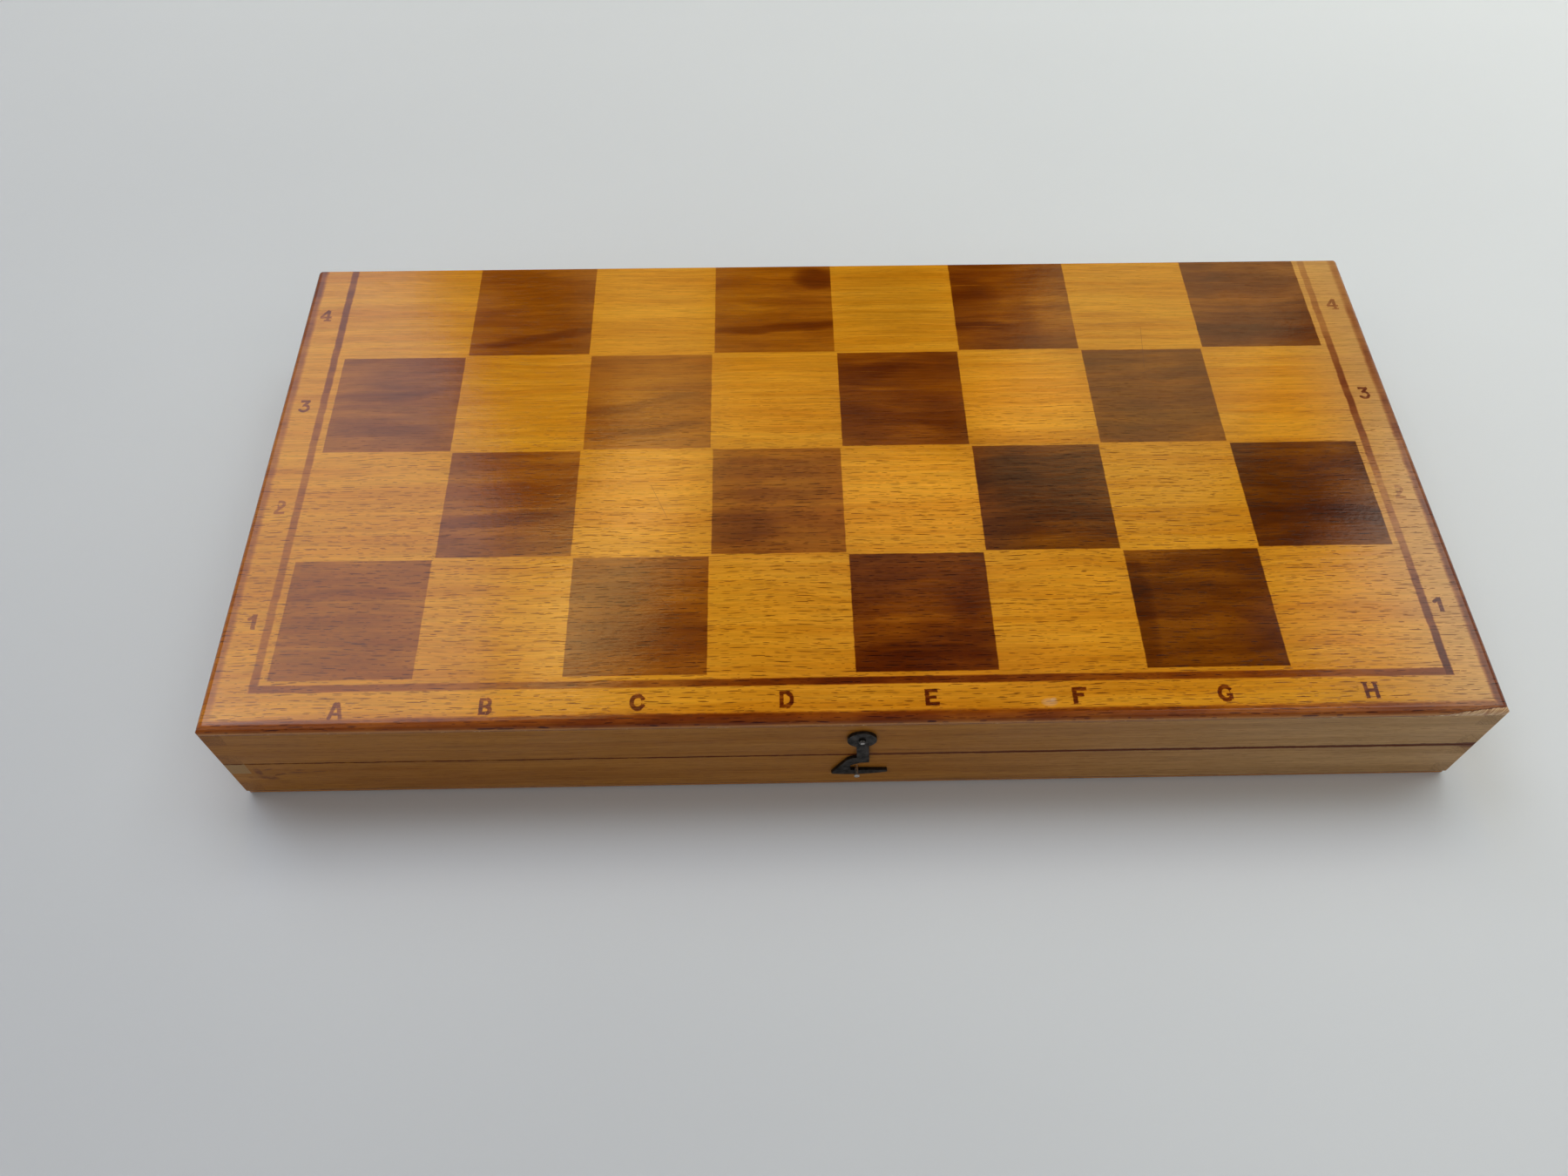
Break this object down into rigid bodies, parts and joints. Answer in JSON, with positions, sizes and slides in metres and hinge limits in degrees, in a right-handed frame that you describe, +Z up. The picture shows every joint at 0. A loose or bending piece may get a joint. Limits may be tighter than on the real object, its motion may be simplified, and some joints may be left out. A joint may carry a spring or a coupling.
{
  "type": "folding chess board box",
  "caption": "Folding wooden chess box: two hinged trays with a squared playing face on each outer side, held shut by a swinging hook.",
  "frame": {"origin": "middle of the underside of the closed box, on the surface that it rests on", "axes": "+X along the hinges, to the right seen from the latch side; +Y from the latch side to the hinge side; +Z up"},
  "size_m": [0.4, 0.2049, 0.0464],
  "materials": {
    "playing_panel": "gloss varnish over stained ply",
    "rail_wood": "satin varnish",
    "hinge_steel": "rolled sheet",
    "bright_steel": "bright wire",
    "hook_steel": "blackened"
  },
  "bodies": {
    "lower_tray": {"lower_panel": "playing_panel", "lower_front_rail": "rail_wood", "lower_back_rail": "rail_wood", "lower_left_rail": "rail_wood", "lower_right_rail": "rail_wood", "lower_hinge_screws": "bright_steel", "catch_nail": "bright_steel", "left_hinge_lower_leaf": "hinge_steel", "right_hinge_lower_leaf": "hinge_steel", "left_hinge_pin": "bright_steel", "right_hinge_pin": "bright_steel"},
    "upper_tray": {"upper_panel": "playing_panel", "upper_front_rail": "rail_wood", "upper_back_rail": "rail_wood", "upper_left_rail": "rail_wood", "upper_right_rail": "rail_wood", "upper_hinge_screws": "bright_steel", "hook_nail": "bright_steel", "left_hinge_upper_leaf": "hinge_steel", "right_hinge_upper_leaf": "hinge_steel"},
    "hook": {"hook": "hook_steel"}
  },
  "joints": [
    {"name": "lid_hinge", "type": "hinge", "parent": "lower_tray", "child": "upper_tray", "pos_m": [0, 0.09975, 0.0232], "axis": [-1, 0, 0], "range_deg": [0, 180]},
    {"name": "hook_pivot", "type": "hinge", "parent": "upper_tray", "child": "hook", "pos_m": [0.0021, -0.1002, 0.0353], "axis": [0, 1, 0], "range_deg": [-3, 339]}
  ]
}
